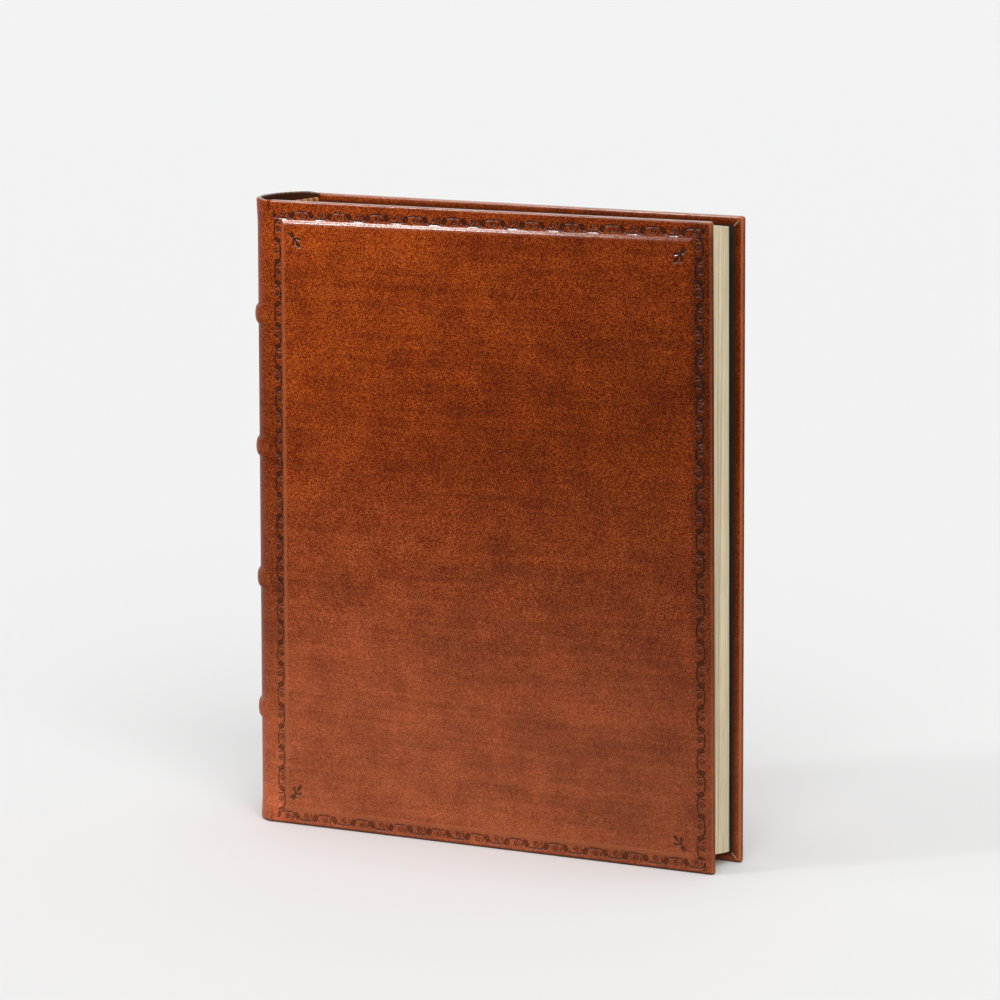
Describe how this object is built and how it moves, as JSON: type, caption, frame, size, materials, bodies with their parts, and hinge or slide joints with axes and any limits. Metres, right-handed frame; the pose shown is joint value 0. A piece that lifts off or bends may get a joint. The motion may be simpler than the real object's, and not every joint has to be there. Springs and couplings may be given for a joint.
{
  "type": "leather photo album",
  "caption": "Full-leather photo album with a rounded hollow spine, raised bands, a cushioned front panel, thick leaves and two hinged covers, standing on its tail.",
  "frame": {"origin": "centre of the album's plan, on the surface that it stands on", "axes": "+X from the spine to the fore-edge, +Y from the front cover to the back cover, +Z from tail to head"},
  "size_m": [0.2572, 0.0507, 0.3106],
  "materials": {
    "leather": "smooth tan calf, semi-gloss, blind tooled",
    "pages": "cream card leaves, matt cut edges",
    "black_paper": "matt black endpaper",
    "board": "grey-brown bookbinder's board",
    "card": "thin brown card",
    "padding": "dense felt padding",
    "band_cord": "shaped card under the leather",
    "linen": "undyed woven linen",
    "headband_silk": "yellow silk sewn with maroon"
  },
  "bodies": {
    "block": {"page_block": "pages", "front_flyleaf": "black_paper", "back_flyleaf": "black_paper", "sewing_tape_1": "linen", "sewing_tape_2": "linen", "sewing_tape_3": "linen", "spine_cloth": "linen", "spine_lining": "card", "headband": "headband_silk", "tailband": "headband_silk", "spine_card": "card", "raised_band_1": "band_cord", "raised_band_2": "band_cord", "raised_band_3": "band_cord", "raised_band_4": "band_cord", "spine_leather": "leather"},
    "front_cover": {"front_board": "board", "front_panel_pad": "padding", "front_board_lining": "card", "front_pastedown": "black_paper", "front_cover_leather": "leather"},
    "back_cover": {"back_board": "board", "back_board_lining": "card", "back_pastedown": "black_paper", "back_cover_leather": "leather"}
  },
  "joints": [
    {"name": "front_hinge", "type": "hinge", "parent": "block", "child": "front_cover", "pos_m": [-0.11145, -0.0244, 0], "axis": [0, 0, -1], "range_deg": [0, 180]},
    {"name": "back_hinge", "type": "hinge", "parent": "block", "child": "back_cover", "pos_m": [-0.11145, 0.0252, 0], "axis": [0, 0, 1], "range_deg": [0, 180]}
  ]
}
